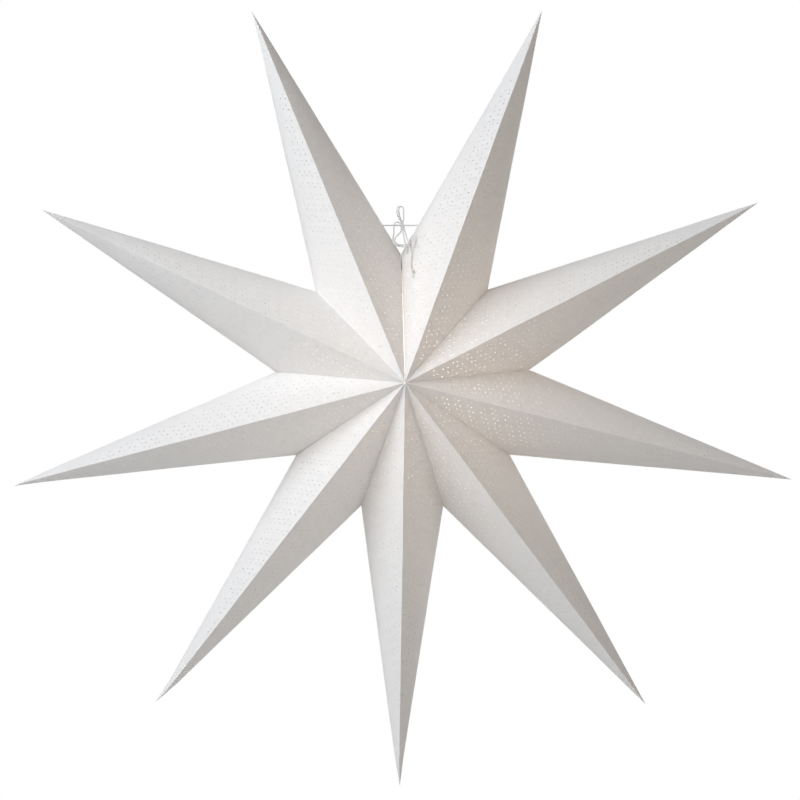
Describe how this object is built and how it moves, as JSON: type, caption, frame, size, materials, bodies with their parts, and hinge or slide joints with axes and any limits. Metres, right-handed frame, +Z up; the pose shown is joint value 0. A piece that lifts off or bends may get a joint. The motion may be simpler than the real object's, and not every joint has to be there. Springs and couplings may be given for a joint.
{
  "type": "paper advent star",
  "caption": "Hanging advent star of folded white card: a hollow body of long pointed arms with pinhole patterns, hung by a cotton string on a short wire.",
  "frame": {"origin": "the hanging point: the inside of the top of the string's hanging loop", "axes": "+Z up, +X to the right as the viewer sees the star's front, -Y out of the front towards the viewer"},
  "size_m": [0.6985, 0.1896, 0.6975],
  "materials": {
    "card": "matt uncoated white card, slightly translucent",
    "wire": "satin galvanised wire",
    "string": "matt twisted white cotton"
  },
  "bodies": {
    "root": {"arm_1": "card", "arm_2": "card", "arm_3": "card", "arm_4": "card", "arm_5": "card", "arm_6": "card", "arm_7": "card", "arm_8": "card", "arm_9": "card", "hanger_wire": "wire", "upper_knot": "string", "lower_knot": "string", "end_knot": "string", "loop_front": "string", "loop_back": "string", "tie_outer": "string", "tie_inner": "string", "tie_seam": "string", "tie_side": "string", "tail": "string"}
  },
  "joints": []
}
